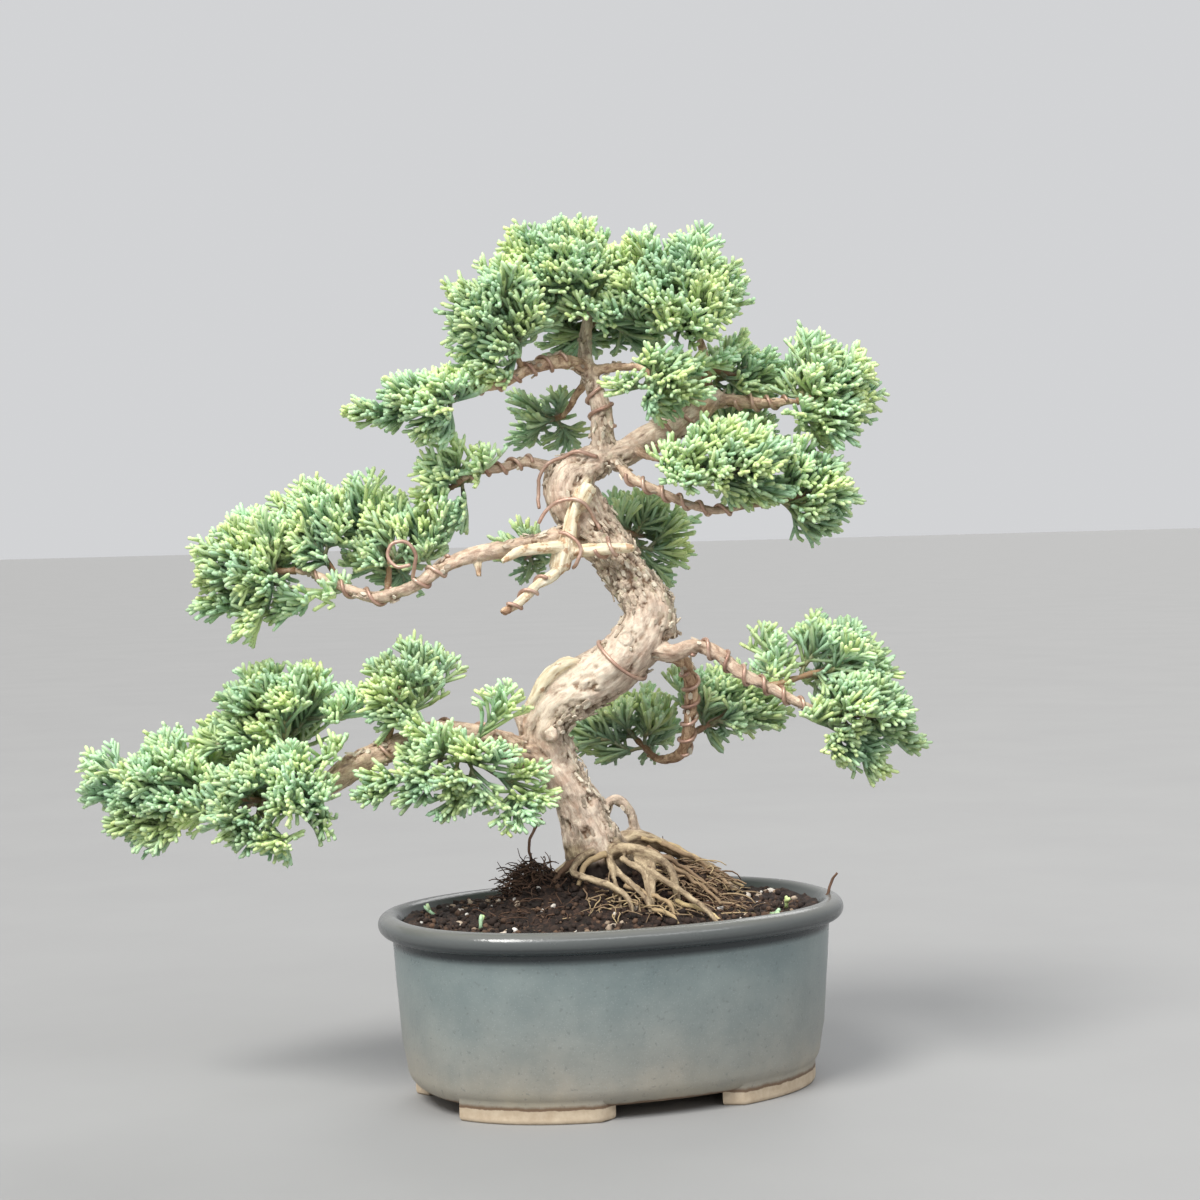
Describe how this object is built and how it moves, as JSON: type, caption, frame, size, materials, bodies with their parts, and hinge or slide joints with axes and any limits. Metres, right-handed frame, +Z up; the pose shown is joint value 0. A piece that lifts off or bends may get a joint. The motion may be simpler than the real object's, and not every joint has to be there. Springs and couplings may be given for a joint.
{
  "type": "kishu juniper bonsai in an oval pot",
  "caption": "Small juniper bonsai with a twisted, wired trunk, deadwood and pads of scale-leaf shoots, growing in an oval glazed pot on low feet.",
  "frame": {"origin": "middle of the bounding box in plan, on the plane that the pot's feet stand on", "axes": "+Z up; X along the pot's long side, with the low left branch at -X; the front that the tree is shown from faces between -Y and -X, about 23 degrees from -Y"},
  "size_m": [0.2576, 0.156, 0.2944],
  "materials": {
    "glaze": "grey-blue reactive glaze, satin, speckled, running out to bare warm clay on the feet",
    "soil": "dark crumbly peat with grit",
    "bark": "pale peeling juniper bark and bleached deadwood",
    "foliage": "blue-green scale leaves with light yellow-green tips",
    "wire": "copper-brown anodised, worn",
    "mesh_plastic": "black moulded mesh"
  },
  "bodies": {
    "root": {"pot": "glaze", "soil": "soil", "drain_screen_left": "mesh_plastic", "drain_clip_left": "wire", "drain_screen_right": "mesh_plastic", "drain_clip_right": "wire", "tree_wood": "bark", "wire_trunk_band": "wire", "wire_upper_bend": "wire", "wire_front_arc": "wire", "wire_jin_band": "wire", "wire_jin_cross": "wire", "wire_jin_tip": "wire", "wire_right_arm": "wire", "wire_lower_left": "wire", "wire_mid_left_inner": "wire", "wire_mid_left_outer": "wire", "wire_upper_left": "wire", "wire_stem": "wire", "wire_apex_left": "wire", "wire_top_right": "wire", "wire_right_long": "wire", "wire_lower_right": "wire", "wire_lower_back": "wire", "pad_low_left_tip": "foliage", "pad_low_left_top": "foliage", "pad_low_left_front": "foliage", "pad_low_left_back": "foliage", "pad_low_left_crest": "foliage", "pad_low_left_hanging": "foliage", "pad_mid_left_tip": "foliage", "pad_mid_left_top": "foliage", "pad_mid_left_inner": "foliage", "pad_mid_left_sprig": "foliage", "pad_apex_far_left": "foliage", "pad_apex_left": "foliage", "pad_apex_top": "foliage", "pad_apex_right": "foliage", "pad_apex_back": "foliage", "pad_apex_front": "foliage", "pad_back_drop": "foliage", "pad_knot_right": "foliage", "pad_top_right": "foliage", "pad_right_front": "foliage", "pad_right_low": "foliage", "pad_right_back": "foliage", "pad_back_right": "foliage", "pad_back_left": "foliage", "pad_low_right_top": "foliage", "pad_low_right_tip": "foliage", "pad_low_back_left": "foliage", "pad_low_back_right": "foliage"}
  },
  "joints": []
}
